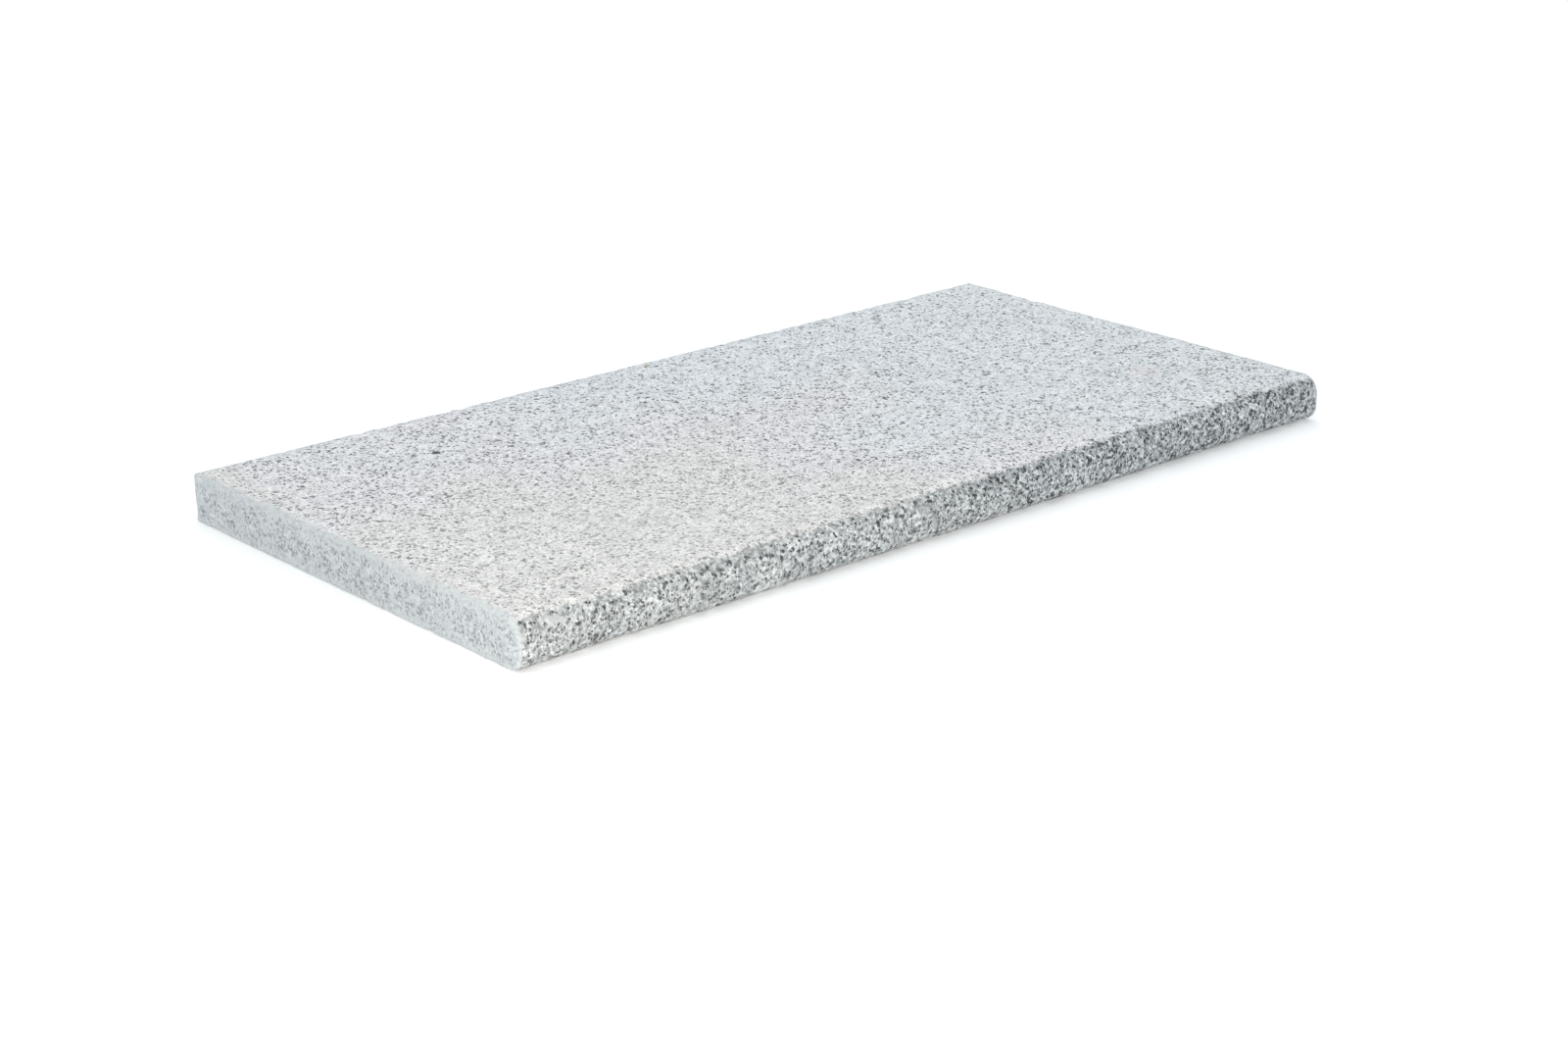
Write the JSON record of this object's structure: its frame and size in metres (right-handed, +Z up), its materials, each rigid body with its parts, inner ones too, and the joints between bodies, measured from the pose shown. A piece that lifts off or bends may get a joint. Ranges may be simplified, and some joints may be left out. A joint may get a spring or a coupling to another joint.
{
  "type": "granite slab",
  "caption": "Rectangular grey granite slab with a rough flat top, sawn ends and back, and the front long edge rounded as a nose.",
  "frame": {"origin": "centre of the underside", "axes": "+X along the length, -Y towards the rounded front edge, +Z up through the thickness"},
  "size_m": [0.6, 0.3, 0.028],
  "materials": {
    "granite": "matte grey granite: roughened top, honed nose, sawn ends and back"
  },
  "bodies": {
    "root": {"granite_slab": "granite"}
  },
  "joints": []
}
